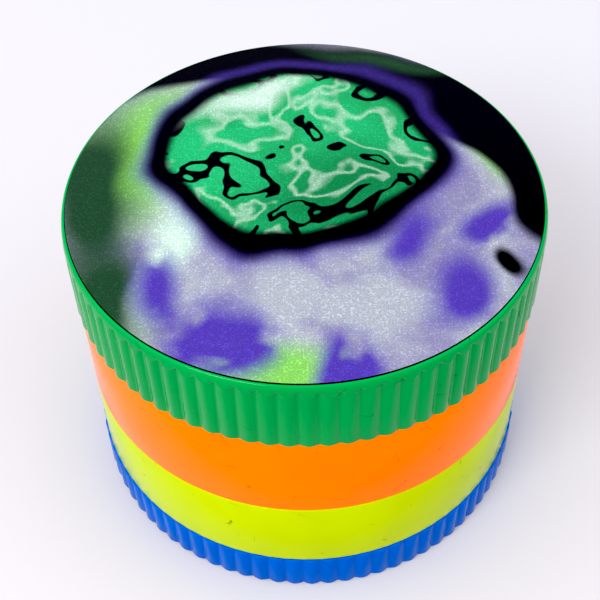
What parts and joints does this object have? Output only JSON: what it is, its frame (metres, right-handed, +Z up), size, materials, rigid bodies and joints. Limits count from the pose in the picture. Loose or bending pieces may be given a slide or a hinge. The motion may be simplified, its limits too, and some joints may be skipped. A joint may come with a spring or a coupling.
{
  "type": "hand grinder",
  "caption": "Round stacked hand grinder with a ribbed lid, a toothed grinding chamber, a sieve chamber and a ribbed tray that screw together.",
  "frame": {"origin": "centre of the underside", "axes": "+Z up along the stack's axis; +X and +Y lie across it"},
  "size_m": [0.063, 0.063, 0.047],
  "materials": {
    "blue_paint": "gloss",
    "lime_paint": "gloss",
    "orange_paint": "gloss",
    "green_paint": "gloss",
    "printed_film": "matte",
    "stainless_wire": "satin",
    "spring_steel": "satin",
    "nickel_plate": "gloss",
    "nylon": "satin"
  },
  "bodies": {
    "tray": {"base_tray": "blue_paint"},
    "screen": {"sieve_screen": "stainless_wire", "screen_retainer": "spring_steel"},
    "sieve": {"sieve_chamber": "lime_paint"},
    "post_magnet": {"chamber_magnet": "nickel_plate"},
    "chamber": {"grinding_chamber": "orange_paint"},
    "glide_ring": {"friction_ring": "nylon"},
    "lid": {"lid_shell": "green_paint", "lid_magnet": "nickel_plate", "lid_disc": "printed_film"}
  },
  "joints": [
    {"name": "sieve_rise", "type": "slide", "parent": "tray", "child": "screen", "axis": [0, 0, 1], "range_m": [0, 0.0031]},
    {"name": "sieve_turn", "type": "hinge", "parent": "screen", "child": "sieve", "pos_m": [0, 0, 0.0068], "axis": [0, 0, 1], "range_deg": [0, 540]},
    {"name": "chamber_rise", "type": "slide", "parent": "sieve", "child": "post_magnet", "axis": [0, 0, 1], "range_m": [0, 0.0031]},
    {"name": "chamber_turn", "type": "hinge", "parent": "post_magnet", "child": "chamber", "pos_m": [0, 0, 0.0199], "axis": [0, 0, 1], "range_deg": [0, 540]},
    {"name": "lid_lift", "type": "slide", "parent": "chamber", "child": "glide_ring", "axis": [0, 0, 1], "range_m": [0, 0.03]},
    {"name": "lid_turn", "type": "hinge", "parent": "glide_ring", "child": "lid", "pos_m": [0, 0, 0.035], "axis": [0, 0, 1], "continuous": true}
  ],
  "couplings": [
    {"joint": "sieve_rise", "follows": "sieve_turn", "m_per_rad": 0.00031831},
    {"joint": "chamber_rise", "follows": "chamber_turn", "m_per_rad": 0.00031831}
  ]
}
